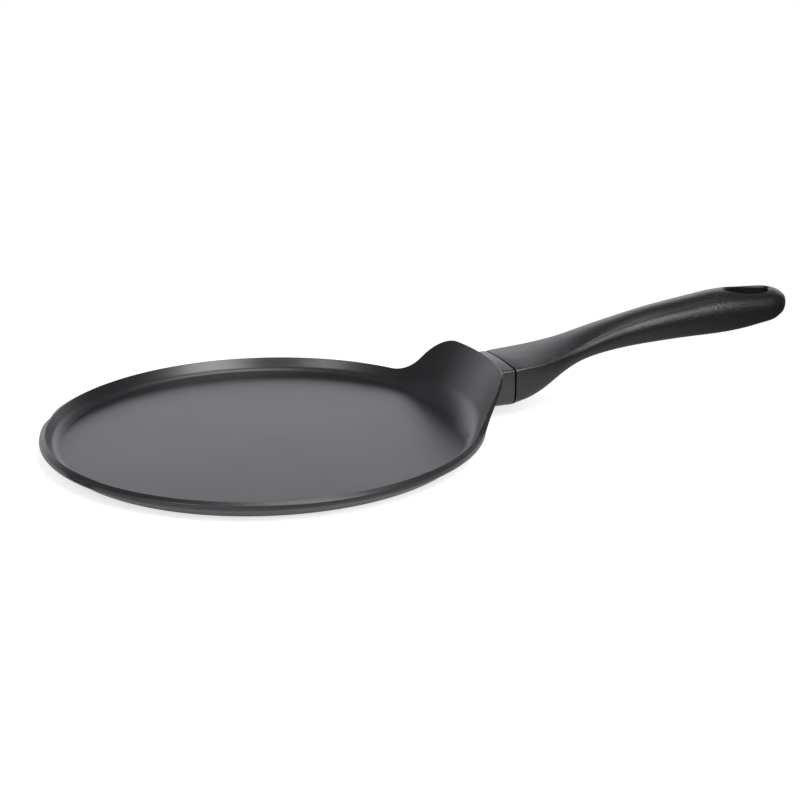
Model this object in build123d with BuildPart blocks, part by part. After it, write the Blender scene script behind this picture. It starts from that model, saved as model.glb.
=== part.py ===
from build123d import *
from math import cos, radians, sin, tan
import os

# Crepe pan: a cast aluminium pan with a raised lug, and a moulded handle held on by one long screw.
# Millimetres. The origin is the middle of the base, +X runs along the handle and +Z is up.

# Dish: a flat floor, a low flared wall and a rim whose land slopes outward over a lip
rim_radius = 120.0
rim_height = 11.0
rim_width = 3.2
rim_drop = 1.4
lip_depth = 2.8
lip_overhang = 1.4
lip_edge = 1.1
floor_thickness = 3.4
floor_corner_radius = 5.0
wall_flare = 28.3
base_inset = 4.4
base_corner_width = 3.0
base_corner_height = 1.2

# Turned rings under the base
ring_pitch = 13.0
ring_width = 1.6
ring_depth = 0.4

# Lug: the wall climbs on behind the dish, at the same flare, to meet the handle
lug_rise = 23.0
lug_half_width = 43.8
lug_root_half_width = 54.2
lug_shoulder_radius = 21.5
lug_foot_radius = 15.5
lug_foot_drop = 1.8
lug_top_thickness = 1.4
lug_top_drop = 1.0

# Boss and tongue, behind the lug
boss_reach = 19.6
boss_half_width = 21.3
boss_top = 30.5
boss_bottom = 7.3
seam_edge = 0.4
tongue_length = 18.0
tongue_width = 23.0
tongue_height = 9.5
tongue_corner_radius = 3.0
tongue_taper = 2.0

# Handle
handle_length = 186.9
grip_half_width = 16.4
grip_depth = 25.0
grip_rise = 28.9
seam_gap = 0.3
socket_clearance = 0.25
socket_end_gap = 1.5
hole_length = 30.0
hole_width = 17.0
hole_setback = 25.8
hole_edge = 1.2

# Fixing: the screw's line rises from the seam into the hanging hole
screw_tilt = 11.0
screw_height = 22.6
screw_diameter = 5.0
screw_length = 87.0
screw_point = 0.8
screw_head_diameter = 8.5
screw_head_height = 3.2
screw_head_edge = 1.2
drive_slot_width = 1.2
drive_slot_length = 4.6
drive_slot_depth = 1.8
shoulder_distance = 79.0
bore_clearance = 0.25
thread_clearance = 0.05
bore_end_gap = 2.0
channel_diameter = 9.0
washer_diameter = 8.6
washer_thickness = 1.0
spring_washer_diameter = 8.2
spring_washer_thickness = 1.2
spring_washer_slit = 0.8

overrun = 5.0

# Handle stations, from the seam to the end. Each row holds shares of: the handle's length, the rise of the
# middle line, the half width, the depth, then the section's crown, flank bulge, belly, top corner radius
# and bottom corner radius as shares of its own half sizes
station_shares = [
    (0.000, 0.000, 1.299, 0.928, 0.09, 0.03, 0.08, 0.13, 0.62),
    (0.049, 0.060, 1.293, 0.864, 0.09, 0.03, 0.09, 0.15, 0.62),
    (0.108, 0.168, 1.238, 0.711, 0.11, 0.04, 0.12, 0.22, 0.64),
    (0.167, 0.319, 1.116, 0.525, 0.16, 0.06, 0.16, 0.36, 0.64),
    (0.232, 0.459, 0.976, 0.448, 0.22, 0.10, 0.22, 0.50, 0.62),
    (0.307, 0.581, 0.872, 0.548, 0.28, 0.14, 0.26, 0.60, 0.62),
    (0.398, 0.686, 0.805, 0.682, 0.30, 0.17, 0.28, 0.62, 0.62),
    (0.511, 0.782, 0.829, 0.816, 0.30, 0.18, 0.28, 0.62, 0.62),
    (0.646, 0.858, 0.896, 0.931, 0.30, 0.18, 0.28, 0.62, 0.62),
    (0.781, 0.917, 0.970, 1.013, 0.30, 0.18, 0.28, 0.62, 0.62),
    (0.856, 0.942, 0.994, 0.924, 0.30, 0.18, 0.28, 0.62, 0.62),
    (0.898, 0.959, 1.000, 0.839, 0.30, 0.18, 0.28, 0.62, 0.62),
    (0.932, 0.978, 0.973, 0.775, 0.30, 0.18, 0.28, 0.62, 0.62),
    (0.958, 1.002, 0.848, 0.672, 0.30, 0.18, 0.28, 0.62, 0.62),
    (0.979, 1.007, 0.640, 0.544, 0.30, 0.18, 0.28, 0.62, 0.62),
    (0.991, 1.009, 0.409, 0.372, 0.30, 0.18, 0.28, 0.62, 0.62),
    (0.998, 1.012, 0.183, 0.164, 0.30, 0.18, 0.28, 0.62, 0.62),
]

os.makedirs("parts", exist_ok=True)

# Sizes that follow from the ones above
rim_inner_radius = rim_radius - rim_width
rim_slope = rim_drop / rim_width
lip_top = rim_height - rim_drop
lip_bottom = lip_top - lip_depth
wall_run = tan(radians(wall_flare))
floor_radius = rim_inner_radius - (rim_height - floor_thickness) * wall_run
base_radius = floor_radius - base_inset
ring_count = int(base_radius // ring_pitch) - 1
lug_top = rim_height + lug_rise
lug_inner_radius = rim_inner_radius + lug_rise * wall_run
lug_outer_radius = lug_inner_radius + lug_top_thickness
lug_foot = rim_height - lug_foot_drop
lug_side = lug_root_half_width + lug_foot_radius + overrun
seam_x = rim_radius + boss_reach
handle_start = seam_x + seam_gap
handle_end = handle_start + handle_length
hole_x = handle_end - hole_setback
boss_middle = (boss_top + boss_bottom) / 2
boss_half_depth = (boss_top - boss_bottom) / 2
washer_seat = shoulder_distance + washer_thickness
head_seat = washer_seat + spring_washer_thickness
screw_tip = head_seat - screw_length
bore_radius = screw_diameter / 2 + thread_clearance
channel_length = (hole_x - seam_x) / cos(radians(screw_tilt)) - shoulder_distance

# The screw's own frame: its origin is on the seam, and its Z runs up the channel
screw_axis = Plane(
    origin=(seam_x, 0, screw_height),
    x_dir=(0, 1, 0),
    z_dir=(cos(radians(screw_tilt)), 0, sin(radians(screw_tilt))),
)


def rounded_section(x, middle, half_width, half_depth, shape_shares):
    """A section across the handle: four shallow arcs with rounded corners between them."""
    crown_share, bulge_share, belly_share, top_share, bottom_share = shape_shares
    side = half_width * (1 - bulge_share)
    top = half_depth * (1 - crown_share)
    bottom = half_depth * (1 - belly_share)
    with BuildSketch(Plane(origin=(x, 0, middle), x_dir=(0, 1, 0), z_dir=(1, 0, 0))) as section:
        with BuildLine():
            ThreePointArc((-side, top), (0, half_depth), (side, top))
            ThreePointArc((side, top), (half_width, 0), (side, -bottom))
            ThreePointArc((side, -bottom), (0, -half_depth), (-side, -bottom))
            ThreePointArc((-side, -bottom), (-half_width, 0), (-side, top))
        make_face()
        fillet(section.vertices().sort_by(Axis.Y)[2:], radius=half_depth * top_share)
        fillet(section.vertices().sort_by(Axis.Y)[:2], radius=half_depth * bottom_share)
    return section.sketch


def handle_section(row):
    """The handle's section at one station."""
    length_share, rise_share, width_share, depth_share = row[:4]
    return rounded_section(
        handle_start + handle_length * length_share,
        boss_middle + grip_rise * rise_share,
        grip_half_width * width_share,
        grip_depth / 2 * depth_share,
        row[4:],
    )


# The boss has the handle's first section, so that the two meet flush at the seam
boss_section = rounded_section(seam_x, boss_middle, boss_half_width, boss_half_depth, station_shares[0][4:])

# What is cut away above the rim, all round but for the lug's outline
with BuildPart() as rim_cutter:
    with BuildSketch(Plane.XZ):
        with BuildLine():
            Polyline(
                (rim_inner_radius - overrun, rim_height + overrun * rim_slope),
                (rim_radius + overrun, lip_top - overrun * rim_slope),
                (lug_outer_radius + overrun, lip_top - overrun * rim_slope),
                (lug_outer_radius + overrun, lug_top + overrun),
                (rim_inner_radius - overrun, lug_top + overrun),
                close=True,
            )
        make_face()
    revolve(axis=Axis.Z)
    with BuildSketch(Plane.YZ):
        with BuildLine():
            lug_edge = FilletPolyline(
                (-lug_side, lug_foot),
                (-lug_root_half_width, rim_height),
                (-lug_half_width, lug_top),
                (lug_half_width, lug_top),
                (lug_root_half_width, rim_height),
                (lug_side, lug_foot),
                radius=[lug_foot_radius, lug_shoulder_radius, lug_shoulder_radius, lug_foot_radius],
            )
            Polyline(lug_edge @ 0, (-lug_side, -overrun), (lug_side, -overrun), lug_edge @ 1)
        make_face()
    extrude(amount=seam_x + overrun, mode=Mode.SUBTRACT)

# Pan body: dish, lug, boss and tongue in one casting
with BuildPart() as pan_body:
    # The outside, with the wall as high as the lug all the way round
    with BuildSketch(Plane.XZ) as outside:
        with BuildLine():
            Polyline(
                (0, 0),
                (base_radius, 0),
                (base_radius + base_corner_width, base_corner_height),
                (rim_radius - lip_overhang, lip_bottom),
                (rim_radius, lip_bottom),
                (rim_radius, lip_top),
                (lug_outer_radius, lug_top - lug_top_drop),
                (lug_inner_radius, lug_top),
                (0, lug_top),
                close=True,
            )
        make_face()
        chamfer(outside.vertices().sort_by_distance((rim_radius, lip_bottom))[0], length=lip_edge)
    revolve(axis=Axis.Z)

    # The boss runs from the wall to the seam, where its end has a small edge
    extrude(boss_section, amount=floor_radius - seam_x)
    chamfer(pan_body.faces().sort_by(Axis.X)[-1].outer_wire().edges(), length=seam_edge)

    # The hollow of the dish, whose wall runs on up the lug
    with BuildSketch(Plane.XZ) as hollow:
        with BuildLine():
            Polyline(
                (0, floor_thickness),
                (floor_radius, floor_thickness),
                (lug_inner_radius + overrun * wall_run, lug_top + overrun),
                (0, lug_top + overrun),
                close=True,
            )
        make_face()
        fillet(hollow.vertices().group_by(Axis.Y)[0].sort_by(Axis.X)[-1], radius=floor_corner_radius)
    revolve(axis=Axis.Z, mode=Mode.SUBTRACT)
    add(rim_cutter.part, mode=Mode.SUBTRACT)

    # The tongue for the handle's socket, and the tapped bore that the screw goes into
    with BuildSketch(screw_axis) as tongue:
        RectangleRounded(tongue_width, tongue_height, tongue_corner_radius)
    extrude(amount=tongue_length, taper=tongue_taper)
    extrude(tongue.sketch, amount=-boss_reach / 2)
    with BuildSketch(screw_axis.offset(screw_tip - bore_end_gap)):
        Circle(bore_radius)
    extrude(amount=tongue_length + overrun - screw_tip + bore_end_gap, mode=Mode.SUBTRACT)

    # Turned rings under the base
    with BuildSketch(Plane.XZ):
        for ring in range(ring_count):
            with Locations((ring_pitch * (ring + 1), 0)):
                Rectangle(ring_width, 2 * ring_depth)
    revolve(axis=Axis.Z, mode=Mode.SUBTRACT)

pan_body.part.label = "pan_body"
export_step(pan_body.part, "parts/pan_body.step")

# Handle grip: one moulding, lofted through its stations
with BuildPart() as handle_grip:
    for row in station_shares:
        add(handle_section(row))
    loft()
    chamfer(handle_grip.faces().sort_by(Axis.X)[0].outer_wire().edges(), length=seam_edge)

    # The hanging hole, with an eased rim above and below
    with BuildSketch(Plane.XY):
        with Locations((hole_x, 0)):
            Ellipse(hole_length / 2, hole_width / 2)
    extrude(amount=boss_top + grip_rise + grip_depth, mode=Mode.SUBTRACT)
    chamfer(handle_grip.edges(Select.LAST).filter_by(Axis.Z, reverse=True), length=hole_edge)

    # The socket over the tongue
    with BuildSketch(screw_axis) as socket:
        RectangleRounded(
            tongue_width + 2 * socket_clearance,
            tongue_height + 2 * socket_clearance,
            tongue_corner_radius + socket_clearance,
        )
    extrude(amount=tongue_length + socket_end_gap, taper=tongue_taper, mode=Mode.SUBTRACT)
    extrude(socket.sketch, amount=-overrun, mode=Mode.SUBTRACT)

    # The bore for the screw, and the channel for its head, from the hanging hole down to a shoulder
    with BuildSketch(screw_axis):
        Circle(screw_diameter / 2 + bore_clearance)
    extrude(amount=shoulder_distance + overrun, mode=Mode.SUBTRACT)
    with BuildSketch(screw_axis.offset(shoulder_distance)):
        Circle(channel_diameter / 2)
    extrude(amount=channel_length, mode=Mode.SUBTRACT)

handle_grip.part.label = "handle_grip"
export_step(handle_grip.part, "parts/handle_grip.step")

# Handle screw: a pan head with a crossed drive, on a plain shank where the thread is
with BuildPart() as handle_screw:
    with BuildSketch(screw_axis.offset(screw_tip)):
        Circle(screw_diameter / 2)
    extrude(amount=screw_length)
    chamfer(handle_screw.edges().sort_by(Axis.X)[0], length=screw_point)
    with BuildSketch(screw_axis.offset(head_seat)):
        Circle(screw_head_diameter / 2)
    extrude(amount=screw_head_height)
    fillet(handle_screw.edges().sort_by(Axis.X)[-1], radius=screw_head_edge)
    with BuildSketch(screw_axis.offset(head_seat + screw_head_height)):
        Rectangle(drive_slot_width, drive_slot_length)
        Rectangle(drive_slot_length, drive_slot_width)
    extrude(amount=-drive_slot_depth, mode=Mode.SUBTRACT)

handle_screw.part.label = "handle_screw"
export_step(handle_screw.part, "parts/handle_screw.step")

# Flat washer, on the shoulder at the end of the channel
with BuildPart() as flat_washer:
    with BuildSketch(screw_axis.offset(shoulder_distance)):
        Circle(washer_diameter / 2)
        Circle(screw_diameter / 2 + bore_clearance, mode=Mode.SUBTRACT)
    extrude(amount=washer_thickness)

flat_washer.part.label = "flat_washer"
export_step(flat_washer.part, "parts/flat_washer.step")

# Spring washer: a split ring, shown pressed flat under the head
with BuildPart() as spring_washer:
    with BuildSketch(screw_axis.offset(washer_seat)):
        Circle(spring_washer_diameter / 2)
        Circle(screw_diameter / 2 + bore_clearance, mode=Mode.SUBTRACT)
        with Locations((0, spring_washer_diameter / 2)):
            Rectangle(spring_washer_slit, spring_washer_diameter, mode=Mode.SUBTRACT)
    extrude(amount=spring_washer_thickness)

spring_washer.part.label = "spring_washer"
export_step(spring_washer.part, "parts/spring_washer.step")
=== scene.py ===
from math import acos, atan2, copysign, cos, hypot, pi, radians, sin, tan

import bpy
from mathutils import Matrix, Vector


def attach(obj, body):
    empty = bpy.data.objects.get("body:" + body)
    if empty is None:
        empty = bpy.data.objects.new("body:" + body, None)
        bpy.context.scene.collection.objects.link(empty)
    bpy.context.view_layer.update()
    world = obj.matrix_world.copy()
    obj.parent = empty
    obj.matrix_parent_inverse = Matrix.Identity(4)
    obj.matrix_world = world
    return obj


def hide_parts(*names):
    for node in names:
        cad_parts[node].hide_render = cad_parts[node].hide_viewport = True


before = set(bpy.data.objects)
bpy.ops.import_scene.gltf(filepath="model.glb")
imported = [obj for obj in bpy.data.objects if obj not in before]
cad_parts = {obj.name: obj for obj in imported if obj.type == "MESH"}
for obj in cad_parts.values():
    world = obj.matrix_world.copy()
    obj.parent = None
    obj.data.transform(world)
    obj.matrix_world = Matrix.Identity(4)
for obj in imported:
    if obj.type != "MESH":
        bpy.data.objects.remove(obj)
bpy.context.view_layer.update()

# Camera, in metres and degrees: found from the rim's outline in the photograph
CAMERA_TURN = -21.0
CAMERA_HEIGHT = 18.509
CAMERA_DISTANCE = 0.81774
CAMERA_ASIDE = 0.07328
CAMERA_RISE = 0.01069
CAMERA_LENS = 67.776
CAMERA_NEAR = 0.01
RIM_LEVEL = 0.011

# Floor, in metres, and how much it glows for the camera and in the pan's gloss
FLOOR_SIZE = 8.0
FLOOR_WHITE = (0.62, 0.62, 0.62, 1.0)
FLOOR_ROUGHNESS = 0.9
FLOOR_SHEEN = 0.1
CAMERA_LIFT = 0.69
MIRROR_LIFT = 0.27
TABLE_MIDDLE = (-0.04, -0.14, 0.0)
TABLE_START = 0.16
TABLE_END = 0.44

# Light all round: a soft fill, and the room with two white walls that the gloss shows
PLAIN_WHITE = (1.0, 1.0, 1.0, 1.0)
FILL_LIGHT = (0.3, 0.3, 0.3, 1.0)
SIDE_LIGHT = (0.08, 0.08, 0.084, 1.0)
WALL_LIGHT = (1.68, 1.68, 1.77, 1.0)

# Each wall's turn in degrees, then the cosines off that turn where it fades in and is full
BACK_WALL = (167.0, 0.4, 0.95)
FRONT_WALL = (-51.0, 0.7, 0.95)
FRONT_SHARE = 0.5

# Sines of the angles above the floor where the walls' foot and top fade, and what their
# foot keeps of their light
FOOT_START = -0.05
FOOT_END = 0.28
FOOT_SHARE = 0.35
TOP_START = 0.30
TOP_END = 0.48

# Soft lamps round a point over the floor: turn and height in degrees, width and length in
# metres, and power in watts
PANEL_DISTANCE = 1.2
PANEL_MIDDLE = (0.06, 0.0, RIM_LEVEL)
PANELS = {
    "top_panel": (129.0, 80.0, 0.53, 0.53, 3.6),
    "right_panel": (16.0, 43.0, 0.6, 0.85, 11.5),
    "left_panel": (-59.0, 38.0, 0.34, 0.6, 3.2),
}

# Dish, rim and lip, in millimetres from the middle of the base, and degrees
MM = 0.001
RIM_RADIUS = 120.0
RIM_INNER = 116.8
RIM_HEIGHT = 11.0
RIM_DROP = 1.4
EDGE_LEG = 0.4
FLOOR_LEVEL = 3.4
FLOOR_CORNER = 6.0
WALL_FLARE = 28.3
LIP_BOTTOM = 6.8
LIP_OVERHANG = 1.4
LIP_EDGE = 1.1
LIP_DRAFT = 0.4
LIP_OUTER = RIM_RADIUS - LIP_DRAFT

# Base and the rings in it
BASE_RADIUS = 108.31
BASE_CORNER = (3.0, 1.2)
RING_PITCH = 13.0
RING_COUNT = 7
RING_WIDTH = 1.6
RING_DEPTH = 0.4

# Lug: what lies above the crown level is carried up with it
CROWN_LEVEL = 9.05
LUG_RISE = 23.0
LUG_HALF_WIDTH = 43.8
LUG_ROOT_HALF_WIDTH = 54.2
LUG_SHOULDER = 21.5
LUG_FOOT = 15.5
LUG_TOP_WIDTH = 1.4
LUG_TOP_DROP = 1.2
LUG_CORNER = 17.0
FLANK_ROLL = 1.7

# Boss, and the seam where the handle butts against it, along X
BOSS_CUT = 131.0
BOSS_ROOT = 104.0
SEAM = 139.6
HANDLE_START = 139.9
SEAM_OPENING = 0.2

# How finely the shapes are divided: radii on the flat dish, then steps round each bend
DISH_STOPS = (0.0, 40.0, 80.0, 100.0)
CORNER_STEPS = 8
EDGE_STEPS = 4
LIP_STEPS = 5
LUG_STEPS = 24
SPIN_STEPS = 720

# How near counts as on the dish's corner or on a flat face, in millimetres, and as one
# point, in metres
ON_CORNER = 0.01
ON_FACE = 0.02
MERGE_GAP = 0.000002

# How the lug's outline is read: spans in millimetres, rounds of halving, and the digits
# that a turn round the pan keeps
SMALLEST_RUN = 0.000001
SLOPE_REACH = 1.0
HALVINGS = 30
TURN_DIGITS = 5

# Edges sharper than this many degrees stay sharp
SOFT_ANGLE = 28.0

# Finishes: each one's values for the fine grain, and how glossy its shader is
COATING_SHEEN = 0.8
COATING_GRAIN = {
    "Base": (0.013, 0.013, 0.015, 1.0),
    "Fleck": (0.08, 0.08, 0.085, 1.0),
    "Grain Scale": 1700.0,
    "Fleck Share": 0.15,
    "Roughness": 0.33,
    "Roughness Drift": 0.05,
    "Bump Strength": 0.04,
}
PLASTIC_SHEEN = 0.68
PLASTIC_GRAIN = {
    "Base": (0.007, 0.007, 0.008, 1.0),
    "Fleck": (0.04, 0.04, 0.042, 1.0),
    "Grain Scale": 650.0,
    "Fleck Share": 0.15,
    "Roughness": 0.33,
    "Roughness Drift": 0.08,
    "Bump Strength": 0.3,
}
STEEL_GRAIN = {
    "Base": (0.58, 0.58, 0.60, 1.0),
    "Fleck": (0.38, 0.38, 0.40, 1.0),
    "Grain Scale": 900.0,
    "Fleck Share": 0.4,
    "Roughness": 0.28,
    "Roughness Drift": 0.2,
    "Bump Strength": 0.04,
}

# What the fine grain has in common: its lumps, flecks and slow drift in the gloss
LUMP_DETAIL = 3.0
LUMP_ROUGHNESS = 0.65
LUMP_HEIGHT = 0.0006
FLECK_START = 0.80
DRIFT_SCALE = 22.0
DRIFT_DETAIL = 4.0
NOISE_MIDDLE = 0.5


def only_select(piece):
    """Deselects everything, then selects one object and makes it active."""
    bpy.ops.object.select_all(action="DESELECT")
    piece.select_set(True)
    bpy.context.view_layer.objects.active = piece


def place_node(tree, kind, x, y, values=None, **settings):
    """One node in a tree, at a place on its sheet, with its settings and its inputs' values."""
    node = tree.nodes.new(kind)
    node.location = (x, y)
    for name, setting in settings.items():
        setattr(node, name, setting)
    for socket, value in (values or {}).items():
        node.inputs[socket].default_value = value
    return node


def add_sockets(group, way, kind, names):
    """Named sockets of one kind on a node group's outside."""
    for name in names:
        group.interface.new_socket(name=name, in_out=way, socket_type=kind)


def make_grain_group():
    """Fine grain: small lumps for the bump, bright flecks and a slow drift in the gloss."""
    group = bpy.data.node_groups.new("fine grain", "ShaderNodeTree")
    add_sockets(group, "INPUT", "NodeSocketColor", ("Base", "Fleck"))
    add_sockets(group, "INPUT", "NodeSocketFloat", (
        "Grain Scale", "Fleck Share", "Roughness", "Roughness Drift", "Bump Strength",
    ))
    add_sockets(group, "OUTPUT", "NodeSocketColor", ("Color",))
    add_sockets(group, "OUTPUT", "NodeSocketFloat", ("Roughness",))
    add_sockets(group, "OUTPUT", "NodeSocketVector", ("Normal",))
    link = group.links.new
    given = place_node(group, "NodeGroupInput", -1100, 0)
    result = place_node(group, "NodeGroupOutput", 500, 0)
    place = place_node(group, "ShaderNodeTexCoord", -1100, 400)

    lumps = place_node(group, "ShaderNodeTexNoise", -800, 300, {
        "Detail": LUMP_DETAIL, "Roughness": LUMP_ROUGHNESS,
    })
    link(place.outputs["Object"], lumps.inputs["Vector"])
    link(given.outputs["Grain Scale"], lumps.inputs["Scale"])

    specks = place_node(group, "ShaderNodeTexVoronoi", -800, 0)
    link(place.outputs["Object"], specks.inputs["Vector"])
    link(given.outputs["Grain Scale"], specks.inputs["Scale"])
    sparkle = place_node(group, "ShaderNodeMapRange", -550, 0, {"From Min": FLECK_START})
    link(specks.outputs["Color"], sparkle.inputs["Value"])
    amount = place_node(group, "ShaderNodeMath", -300, 0, operation="MULTIPLY")
    link(sparkle.outputs["Result"], amount.inputs[0])
    link(given.outputs["Fleck Share"], amount.inputs[1])
    colour = place_node(group, "ShaderNodeMix", 0, 200, data_type="RGBA")
    link(amount.outputs["Value"], colour.inputs["Factor"])
    link(given.outputs["Base"], colour.inputs["A"])
    link(given.outputs["Fleck"], colour.inputs["B"])
    link(colour.outputs["Result"], result.inputs["Color"])

    drift = place_node(group, "ShaderNodeTexNoise", -800, -350, {
        "Scale": DRIFT_SCALE, "Detail": DRIFT_DETAIL,
    })
    link(place.outputs["Object"], drift.inputs["Vector"])
    centred = place_node(
        group, "ShaderNodeMath", -550, -350, {1: NOISE_MIDDLE}, operation="SUBTRACT",
    )
    link(drift.outputs["Fac"], centred.inputs[0])
    swing = place_node(group, "ShaderNodeMath", -300, -350, operation="MULTIPLY")
    link(centred.outputs["Value"], swing.inputs[0])
    link(given.outputs["Roughness Drift"], swing.inputs[1])
    gloss = place_node(group, "ShaderNodeMath", 0, -300, operation="ADD")
    link(given.outputs["Roughness"], gloss.inputs[0])
    link(swing.outputs["Value"], gloss.inputs[1])
    link(gloss.outputs["Value"], result.inputs["Roughness"])

    bump = place_node(group, "ShaderNodeBump", 200, -600, {"Distance": LUMP_HEIGHT})
    link(lumps.outputs["Fac"], bump.inputs["Height"])
    link(given.outputs["Bump Strength"], bump.inputs["Strength"])
    link(bump.outputs["Normal"], result.inputs["Normal"])
    return group


def new_material(name):
    """A material with its Principled shader, ready for links."""
    material = bpy.data.materials.new(name)
    material.use_nodes = True
    return material, material.node_tree, material.node_tree.nodes["Principled BSDF"]


def grain_in(tree, shader, group, values):
    """Places the fine grain in a material with its own values and links it to the shader."""
    grain = place_node(tree, "ShaderNodeGroup", -400, 0, values, node_tree=group)
    tree.links.new(grain.outputs["Color"], shader.inputs["Base Color"])
    tree.links.new(grain.outputs["Roughness"], shader.inputs["Roughness"])
    tree.links.new(grain.outputs["Normal"], shader.inputs["Normal"])


def make_coating(group):
    """The casting's dark non-stick coating, satin with fine bright flecks."""
    material, tree, shader = new_material("dark non-stick coating")
    shader.inputs["Specular IOR Level"].default_value = COATING_SHEEN
    grain_in(tree, shader, group, COATING_GRAIN)
    return material


def make_handle_plastic(group):
    """The handle's dark moulded plastic, with a fine even grain."""
    material, tree, shader = new_material("grained handle plastic")
    shader.inputs["Specular IOR Level"].default_value = PLASTIC_SHEEN
    grain_in(tree, shader, group, PLASTIC_GRAIN)
    return material


def make_plated_steel(group):
    """Zinc plated steel for the screw and its washers."""
    material, tree, shader = new_material("zinc plated steel")
    shader.inputs["Metallic"].default_value = 1.0
    grain_in(tree, shader, group, STEEL_GRAIN)
    return material


def merged_copy(node_name, piece_name):
    """A copy of a CAD node with its loose triangles merged."""
    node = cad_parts[node_name]
    piece = node.copy()
    piece.data = node.data.copy()
    piece.name = piece_name
    piece.data.name = piece_name
    bpy.context.scene.collection.objects.link(piece)
    only_select(piece)
    bpy.ops.object.mode_set(mode="EDIT")
    bpy.ops.mesh.select_all(action="SELECT")
    bpy.ops.mesh.remove_doubles(threshold=MERGE_GAP)
    bpy.ops.object.mode_set(mode="OBJECT")
    bpy.ops.mesh.customdata_custom_splitnormals_clear()
    return piece


def shift_face(piece, place, distance):
    """Moves the flat face that lies at a place along X by a small distance."""
    for vertex in piece.data.vertices:
        if abs(vertex.co.x / MM - place) < ON_FACE:
            vertex.co.x += distance * MM


def finish_piece(piece, material, node_name):
    """Smooth shading and the finish; the piece hangs from the root body, and the CAD node it
    stands for is hidden.
    """
    only_select(piece)
    bpy.ops.object.shade_smooth_by_angle(angle=radians(SOFT_ANGLE))
    bpy.ops.object.modifier_add(type="WEIGHTED_NORMAL")
    piece.modifiers[-1].keep_sharp = True
    bpy.ops.object.modifier_apply(modifier=piece.modifiers[-1].name)
    piece.data.materials.clear()
    piece.data.materials.append(material)
    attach(piece, "root")
    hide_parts(node_name)


def combine(piece, tool, operation):
    """Adds a tool piece to a piece, or cuts it away, and removes the tool."""
    only_select(piece)
    bpy.ops.object.modifier_add(type="BOOLEAN")
    cut = piece.modifiers[-1]
    cut.operation = operation
    cut.solver = "EXACT"
    cut.object = tool
    bpy.ops.object.modifier_apply(modifier=cut.name)
    bpy.data.objects.remove(tool)


def draw_line(name, points):
    """A line of edges through points across X and Z, ready to spin, left in edit mode."""
    bpy.ops.object.select_all(action="DESELECT")
    bpy.ops.mesh.primitive_plane_add(size=MM)
    piece = bpy.context.active_object
    piece.name = name
    piece.data.name = name
    bpy.ops.object.mode_set(mode="EDIT")
    bpy.ops.mesh.merge(type="CENTER")
    here = (0.0, 0.0)
    for number, point in enumerate(points):
        step = ((point[0] - here[0]) * MM, 0.0, (point[1] - here[1]) * MM)
        if number == 0:
            bpy.ops.transform.translate(value=step)
        else:
            bpy.ops.mesh.extrude_region_move(TRANSFORM_OT_translate={"value": step})
        here = point
    return piece


def eased_corner(before, corner, after, steps):
    """Points of a soft bend from one point to another round a corner."""
    points = []
    for step in range(steps + 1):
        share = step / steps
        points.append(tuple(
            (1 - share) ** 2 * before[axis]
            + 2 * share * (1 - share) * corner[axis]
            + share ** 2 * after[axis]
            for axis in range(2)
        ))
    return points


def wall_radius(height):
    """The inner wall's radius at a height, on the dish and on the lug alike."""
    return RIM_INNER + (height - RIM_HEIGHT) * tan(radians(WALL_FLARE))


def corner_span(corner):
    """The radii at which a rounded corner between the dish and the wall starts and ends."""
    steep = radians(90.0 - WALL_FLARE)
    start = wall_radius(FLOOR_LEVEL) - corner * tan(steep / 2)
    return start, start + corner * sin(steep)


def pan_outline():
    """Half the pan's section, from the dish's middle over the rim to the base's middle."""
    steep = radians(90.0 - WALL_FLARE)
    fall = atan2(RIM_DROP, RIM_RADIUS - RIM_INNER)
    lip_top = RIM_HEIGHT - (LIP_OUTER - RIM_INNER) * tan(fall)
    corner_start = corner_span(FLOOR_CORNER)[0]
    points = [(stop, FLOOR_LEVEL) for stop in DISH_STOPS]
    for step in range(CORNER_STEPS + 1):
        bend = steep * step / CORNER_STEPS
        points.append((
            corner_start + FLOOR_CORNER * sin(bend),
            FLOOR_LEVEL + FLOOR_CORNER * (1 - cos(bend)),
        ))
    points += eased_corner(
        (RIM_INNER - EDGE_LEG * cos(steep), RIM_HEIGHT - EDGE_LEG * sin(steep)),
        (RIM_INNER, RIM_HEIGHT),
        (RIM_INNER + EDGE_LEG * cos(fall), RIM_HEIGHT - EDGE_LEG * sin(fall)),
        EDGE_STEPS,
    )
    points += eased_corner(
        (LIP_OUTER - EDGE_LEG * cos(fall), lip_top + EDGE_LEG * sin(fall)),
        (LIP_OUTER, lip_top),
        (LIP_OUTER, lip_top - EDGE_LEG),
        EDGE_STEPS,
    )
    points += eased_corner(
        (RIM_RADIUS, LIP_BOTTOM + LIP_EDGE),
        (RIM_RADIUS, LIP_BOTTOM),
        (RIM_RADIUS - LIP_EDGE, LIP_BOTTOM),
        LIP_STEPS,
    )
    points.append((RIM_RADIUS - LIP_OVERHANG, LIP_BOTTOM))
    points.append((BASE_RADIUS + BASE_CORNER[0], BASE_CORNER[1]))
    points.append((BASE_RADIUS, 0.0))
    for ring in range(RING_COUNT, 0, -1):
        outer = RING_PITCH * ring + RING_WIDTH / 2
        inner = RING_PITCH * ring - RING_WIDTH / 2
        points += [(outer, 0.0), (outer, RING_DEPTH), (inner, RING_DEPTH), (inner, 0.0)]
    points.append((0.0, 0.0))
    return points


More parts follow.
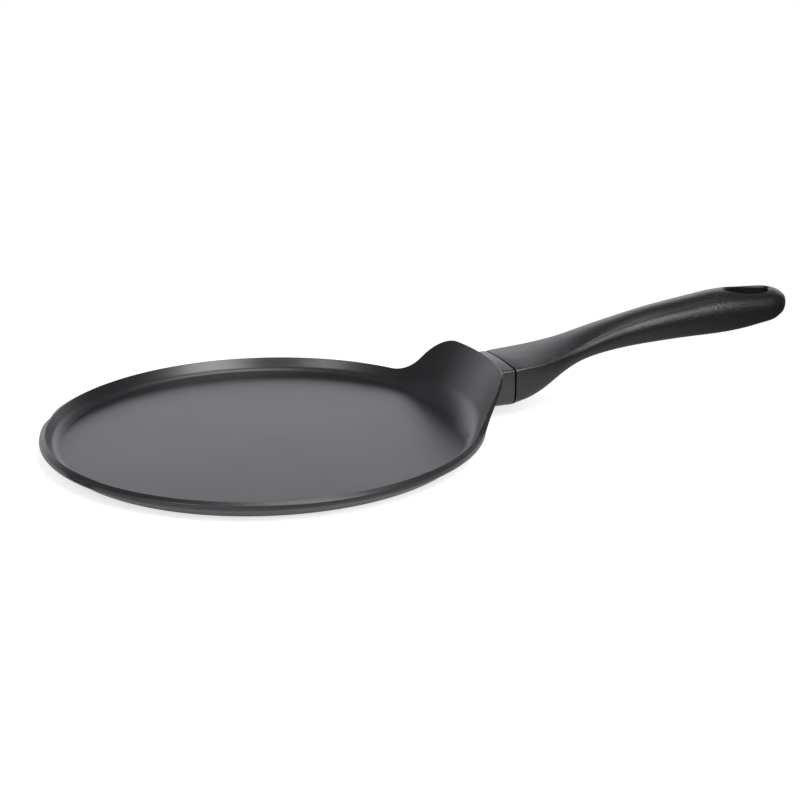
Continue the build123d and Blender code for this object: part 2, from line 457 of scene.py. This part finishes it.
def lug_outline():
    """The lug's edge from its middle outward, as points across Y and Z with rounded corners."""
    top = RIM_HEIGHT + LUG_RISE
    run = LUG_ROOT_HALF_WIDTH - LUG_HALF_WIDTH
    steep = atan2(LUG_RISE, run)
    shoulder = LUG_SHOULDER * tan(steep / 2)
    foot = LUG_FOOT * tan(steep / 2)
    points = [(0.0, top)]
    for step in range(LUG_STEPS + 1):
        bend = steep * step / LUG_STEPS
        points.append((
            LUG_HALF_WIDTH - shoulder + LUG_SHOULDER * sin(bend),
            top - LUG_SHOULDER * (1 - cos(bend)),
        ))
    for step in range(LUG_STEPS + 1):
        bend = steep * (1 - step / LUG_STEPS)
        points.append((
            LUG_ROOT_HALF_WIDTH + foot - LUG_FOOT * sin(bend),
            RIM_HEIGHT + LUG_FOOT * (1 - cos(bend)),
        ))
    points.append((2 * RIM_RADIUS, RIM_HEIGHT))
    return points


def height_on(outline, across):
    """The height of an outline at a place across it."""
    for near, far in zip(outline, outline[1:]):
        if near[0] <= across <= far[0]:
            share = (across - near[0]) / max(far[0] - near[0], SMALLEST_RUN)
            return near[1] + share * (far[1] - near[1])
    return outline[-1][1]


def fall_on(outline, across):
    """How steeply an outline falls at a place across it, as an angle."""
    near = max(across - SLOPE_REACH, 0.0)
    far = across + SLOPE_REACH
    return atan2(height_on(outline, near) - height_on(outline, far), far - near)


def crown_height(outline, turn):
    """The top of the wall in one direction: the rim's height, or more where the lug stands."""
    if cos(turn) <= 0.0:
        return RIM_HEIGHT
    low, high = RIM_HEIGHT, RIM_HEIGHT + LUG_RISE
    for _ in range(HALVINGS):
        middle = (low + high) / 2
        if height_on(outline, wall_radius(middle) * abs(sin(turn))) > middle:
            low = middle
        else:
            high = middle
    return (low + high) / 2


def widened_corner(turn, level, share):
    """Where a point of the dish's rounded corner goes, as the corner widens under the lug."""
    bend = acos(max(-1.0, min(1.0, 1 - (level - FLOOR_LEVEL) / FLOOR_CORNER)))
    corner = FLOOR_CORNER + share * (LUG_CORNER - FLOOR_CORNER)
    radius = corner_span(corner)[0] + corner * sin(bend)
    height = FLOOR_LEVEL + corner * (1 - cos(bend))
    return Vector((cos(turn) * radius, sin(turn) * radius, height))


def carried_rim(outline, turn, radius, level, crown, share):
    """Where a point of the rim goes: up the wall's slope, thinner, and rolled out on a flank."""
    width = RIM_RADIUS - RIM_INNER
    out = radius - RIM_INNER
    down = RIM_HEIGHT - level
    if out > 0.0:
        out *= 1 + share * (LUG_TOP_WIDTH / width - 1)
        down *= 1 + share * (LUG_TOP_DROP / RIM_DROP - 1)
    carried = wall_radius(crown) + out
    place = Vector((cos(turn) * carried, sin(turn) * carried, crown - down))
    steepest = atan2(LUG_RISE, LUG_ROOT_HALF_WIDTH - LUG_HALF_WIDTH)
    slope = fall_on(outline, wall_radius(crown) * abs(sin(turn)))
    roll = FLANK_ROLL * (sin(slope) / sin(steepest)) ** 2 * max(out, 0.0) / width
    place.y -= copysign(sin(slope), place.y) * roll
    place.z -= cos(slope) * roll
    return place


def raise_lug(piece):
    """Carries the rim up where the lug stands, and widens the dish's corner under it."""
    outline = lug_outline()
    corner_start, corner_end = corner_span(FLOOR_CORNER)
    crowns = {}
    for vertex in piece.data.vertices:
        level = vertex.co.z / MM
        radius = hypot(vertex.co.x, vertex.co.y) / MM
        on_wall_side = corner_start - ON_CORNER < radius < corner_end + ON_CORNER
        in_corner = on_wall_side and level > FLOOR_LEVEL - ON_CORNER
        if level < CROWN_LEVEL and not in_corner:
            continue
        turn = atan2(vertex.co.y, vertex.co.x)
        key = round(turn, TURN_DIGITS)
        if key not in crowns:
            crowns[key] = crown_height(outline, turn)
        crown = crowns[key]
        share = (crown - RIM_HEIGHT) / LUG_RISE
        if in_corner:
            place = widened_corner(turn, level, share)
        else:
            place = carried_rim(outline, turn, radius, level, crown, share)
        vertex.co = place * MM


def spin_pan():
    """The casting without its boss: its section spun round, with the rim raised at the lug."""
    pan = draw_line("coated_pan", pan_outline())
    bpy.ops.mesh.select_all(action="SELECT")
    bpy.ops.mesh.spin(
        steps=SPIN_STEPS, angle=2 * pi, center=(0.0, 0.0, 0.0), axis=(0.0, 0.0, 1.0),
    )
    bpy.ops.mesh.select_all(action="SELECT")
    bpy.ops.mesh.remove_doubles(threshold=MERGE_GAP)
    bpy.ops.mesh.normals_make_consistent(inside=False)
    bpy.ops.object.mode_set(mode="OBJECT")
    raise_lug(pan)
    return pan


def cut_boss():
    """The casting's boss and tongue, cut off behind the lug and run on to the lug's inside."""
    boss = merged_copy("pan_body", "boss")
    shift_face(boss, SEAM, -SEAM_OPENING)
    bpy.ops.object.mode_set(mode="EDIT")
    bpy.ops.mesh.select_all(action="SELECT")
    bpy.ops.mesh.bisect(
        plane_co=(BOSS_CUT * MM, 0.0, 0.0), plane_no=(1.0, 0.0, 0.0), clear_inner=True,
    )
    bpy.ops.mesh.extrude_region_move(
        TRANSFORM_OT_translate={"value": ((BOSS_ROOT - BOSS_CUT) * MM, 0.0, 0.0)}
    )
    bpy.ops.mesh.edge_face_add()
    bpy.ops.mesh.select_all(action="SELECT")
    bpy.ops.mesh.normals_make_consistent(inside=False)
    bpy.ops.object.mode_set(mode="OBJECT")
    return boss


def add_inside_cone():
    """A cone on the wall's slope that ends halfway through the lug, to trim the boss with."""
    inside = LUG_TOP_WIDTH / 2
    depth = RIM_HEIGHT + 2 * LUG_RISE
    bpy.ops.object.select_all(action="DESELECT")
    bpy.ops.mesh.primitive_cone_add(
        vertices=SPIN_STEPS,
        radius1=(wall_radius(0.0) + inside) * MM,
        radius2=(wall_radius(depth) + inside) * MM,
        depth=depth * MM,
        location=(0.0, 0.0, depth / 2 * MM),
    )
    return bpy.context.active_object


def make_pan():
    """The casting: a spun dish whose rim climbs into the lug, joined to the boss behind it."""
    pan = spin_pan()
    boss = cut_boss()
    combine(boss, add_inside_cone(), "DIFFERENCE")
    combine(pan, boss, "UNION")
    return pan


def make_handle():
    """The moulding, with its end drawn back a little so that the seam reads as a dark line."""
    handle = merged_copy("handle_grip", "moulded_handle")
    shift_face(handle, HANDLE_START, SEAM_OPENING)
    return handle


def mirrored_rays(tree, x, y):
    """Whether a ray comes from the camera, and whether it is a glossy or transmission ray."""
    path = place_node(tree, "ShaderNodeLightPath", x, y)
    mirrored = place_node(tree, "ShaderNodeMath", x + 200, y, operation="MAXIMUM")
    tree.links.new(path.outputs["Is Glossy Ray"], mirrored.inputs[0])
    tree.links.new(path.outputs["Is Transmission Ray"], mirrored.inputs[1])
    return path.outputs["Is Camera Ray"], mirrored.outputs["Value"]


def make_floor():
    """A white table top that keeps the pan's soft shadow and runs out into plain white."""
    bpy.ops.object.select_all(action="DESELECT")
    bpy.ops.mesh.primitive_plane_add(size=FLOOR_SIZE)
    floor = bpy.context.active_object
    floor.name = "studio_floor"
    material, tree, shader = new_material("white floor")
    link = tree.links.new
    shader.inputs["Base Color"].default_value = FLOOR_WHITE
    shader.inputs["Roughness"].default_value = FLOOR_ROUGHNESS
    shader.inputs["Specular IOR Level"].default_value = FLOOR_SHEEN
    shader.inputs["Emission Color"].default_value = PLAIN_WHITE

    camera_ray, mirror_ray = mirrored_rays(tree, -1000, -300)
    mirror_lift = place_node(
        tree, "ShaderNodeMath", -600, -400, {1: MIRROR_LIFT}, operation="MULTIPLY",
    )
    lift = place_node(
        tree, "ShaderNodeMath", -400, -300, {1: CAMERA_LIFT}, operation="MULTIPLY_ADD",
    )
    link(mirror_ray, mirror_lift.inputs[0])
    link(camera_ray, lift.inputs[0])
    link(mirror_lift.outputs["Value"], lift.inputs[2])
    link(lift.outputs["Value"], shader.inputs["Emission Strength"])

    far_colour = place_node(
        tree, "ShaderNodeMix", 0, -400, {"A": SIDE_LIGHT, "B": PLAIN_WHITE}, data_type="RGBA",
    )
    far = place_node(tree, "ShaderNodeEmission", 300, -300)
    link(camera_ray, far_colour.inputs["Factor"])
    link(far_colour.outputs["Result"], far.inputs["Color"])

    place = place_node(tree, "ShaderNodeTexCoord", -900, 500)
    reach = place_node(
        tree, "ShaderNodeVectorMath", -700, 500, {1: TABLE_MIDDLE}, operation="DISTANCE",
    )
    fade = place_node(
        tree, "ShaderNodeMapRange", -500, 500, {"From Min": TABLE_START, "From Max": TABLE_END},
        interpolation_type="SMOOTHSTEP",
    )
    both = place_node(tree, "ShaderNodeMixShader", 600, 0)
    link(place.outputs["Object"], reach.inputs[0])
    link(reach.outputs["Value"], fade.inputs["Value"])
    link(fade.outputs["Result"], both.inputs["Fac"])
    link(shader.outputs["BSDF"], both.inputs[1])
    link(far.outputs["Emission"], both.inputs[2])
    link(both.outputs["Shader"], tree.nodes["Material Output"].inputs["Surface"])
    floor.data.materials.append(material)


def add_wall(tree, toward, wall, y):
    """How far a direction points at a white wall, from nothing off its side to 1 on it."""
    turn, start, full = wall
    facing = (sin(radians(turn)), -cos(radians(turn)), 0.0)
    along = place_node(
        tree, "ShaderNodeVectorMath", -1500, y, {1: facing}, operation="DOT_PRODUCT",
    )
    width = place_node(
        tree, "ShaderNodeMapRange", -1300, y, {"From Min": start, "From Max": full},
        interpolation_type="SMOOTHSTEP",
    )
    tree.links.new(toward.outputs["Generated"], along.inputs[0])
    tree.links.new(along.outputs["Value"], width.inputs["Value"])
    return width.outputs["Result"]


def make_world():
    """White for the camera, a soft fill, and a room with two white walls for the gloss."""
    world = bpy.data.worlds.new("studio light")
    bpy.context.scene.world = world
    world.use_nodes = True
    tree = world.node_tree
    link = tree.links.new

    toward = place_node(tree, "ShaderNodeTexCoord", -1700, 0)
    back_wall = add_wall(tree, toward, BACK_WALL, 200)
    front_wall = add_wall(tree, toward, FRONT_WALL, 0)
    walls = place_node(
        tree, "ShaderNodeMath", -1100, 100, {1: FRONT_SHARE}, operation="MULTIPLY_ADD",
    )
    link(front_wall, walls.inputs[0])
    link(back_wall, walls.inputs[2])

    parts = place_node(tree, "ShaderNodeSeparateXYZ", -1500, -300)
    foot = place_node(
        tree, "ShaderNodeMapRange", -1300, -300,
        {"From Min": FOOT_START, "From Max": FOOT_END, "To Min": FOOT_SHARE},
        interpolation_type="SMOOTHSTEP",
    )
    top = place_node(
        tree, "ShaderNodeMapRange", -1300, -600, {"From Min": TOP_END, "From Max": TOP_START},
        interpolation_type="SMOOTHSTEP",
    )
    band = place_node(tree, "ShaderNodeMath", -900, -300, operation="MULTIPLY")
    link(toward.outputs["Generated"], parts.inputs["Vector"])
    link(parts.outputs["Z"], foot.inputs["Value"])
    link(parts.outputs["Z"], top.inputs["Value"])
    link(foot.outputs["Result"], band.inputs[0])
    link(top.outputs["Result"], band.inputs[1])

    wall = place_node(tree, "ShaderNodeMath", -700, -100, operation="MULTIPLY")
    room = place_node(
        tree, "ShaderNodeMix", -500, 0, {"A": SIDE_LIGHT, "B": WALL_LIGHT}, data_type="RGBA",
    )
    link(walls.outputs["Value"], wall.inputs[0])
    link(band.outputs["Value"], wall.inputs[1])
    link(wall.outputs["Value"], room.inputs["Factor"])

    camera_ray, mirror_ray = mirrored_rays(tree, -1100, 500)
    lit = place_node(tree, "ShaderNodeMix", -300, 100, {"A": FILL_LIGHT}, data_type="RGBA")
    shown = place_node(tree, "ShaderNodeMix", -100, 200, {"B": PLAIN_WHITE}, data_type="RGBA")
    link(mirror_ray, lit.inputs["Factor"])
    link(room.outputs["Result"], lit.inputs["B"])
    link(camera_ray, shown.inputs["Factor"])
    link(lit.outputs["Result"], shown.inputs["A"])
    link(shown.outputs["Result"], tree.nodes["Background"].inputs["Color"])


def outward(turn, height):
    """The direction from the pan that a turn and a height in radians give."""
    return Vector((sin(turn) * cos(height), -cos(turn) * cos(height), sin(height)))


def add_panel(name, turn, height, width, length, power):
    """A soft lamp that looks at the pan from a turn and a height in degrees."""
    bpy.ops.object.light_add(type="AREA")
    panel = bpy.context.active_object
    panel.name = name
    panel.data.shape = "RECTANGLE"
    panel.data.size = width
    panel.data.size_y = length
    panel.data.energy = power
    away = outward(radians(turn), radians(height))
    panel.location = Vector(PANEL_MIDDLE) + away * PANEL_DISTANCE
    panel.rotation_euler = away.to_track_quat("Z", "Y").to_euler()


def make_camera():
    """The photograph's camera, turned round the pan's axis at the rim's level."""
    turn = radians(CAMERA_TURN)
    height = radians(CAMERA_HEIGHT)
    back = outward(turn, height)
    right = Vector((cos(turn), sin(turn), 0.0))
    up = back.cross(right)
    data = bpy.data.cameras.new("photo_camera")
    data.lens = CAMERA_LENS
    data.clip_start = CAMERA_NEAR
    camera = bpy.data.objects.new("photo_camera", data)
    rim_middle = Vector((0.0, 0.0, RIM_LEVEL))
    camera.location = (
        rim_middle + back * CAMERA_DISTANCE + right * CAMERA_ASIDE + up * CAMERA_RISE
    )
    camera.rotation_euler = (radians(90.0) - height, 0.0, turn)
    bpy.context.scene.collection.objects.link(camera)
    bpy.context.scene.camera = camera


grain = make_grain_group()
coating = make_coating(grain)
handle_plastic = make_handle_plastic(grain)
plated_steel = make_plated_steel(grain)

finish_piece(make_pan(), coating, "pan_body")
finish_piece(make_handle(), handle_plastic, "handle_grip")
for node_name, piece_name in (
    ("handle_screw", "long_handle_screw"),
    ("flat_washer", "plain_washer"),
    ("spring_washer", "split_washer"),
):
    finish_piece(merged_copy(node_name, piece_name), plated_steel, node_name)

make_floor()
make_world()
for panel_name, panel_values in PANELS.items():
    add_panel(panel_name, *panel_values)
make_camera()
bpy.context.scene.view_settings.view_transform = "Standard"
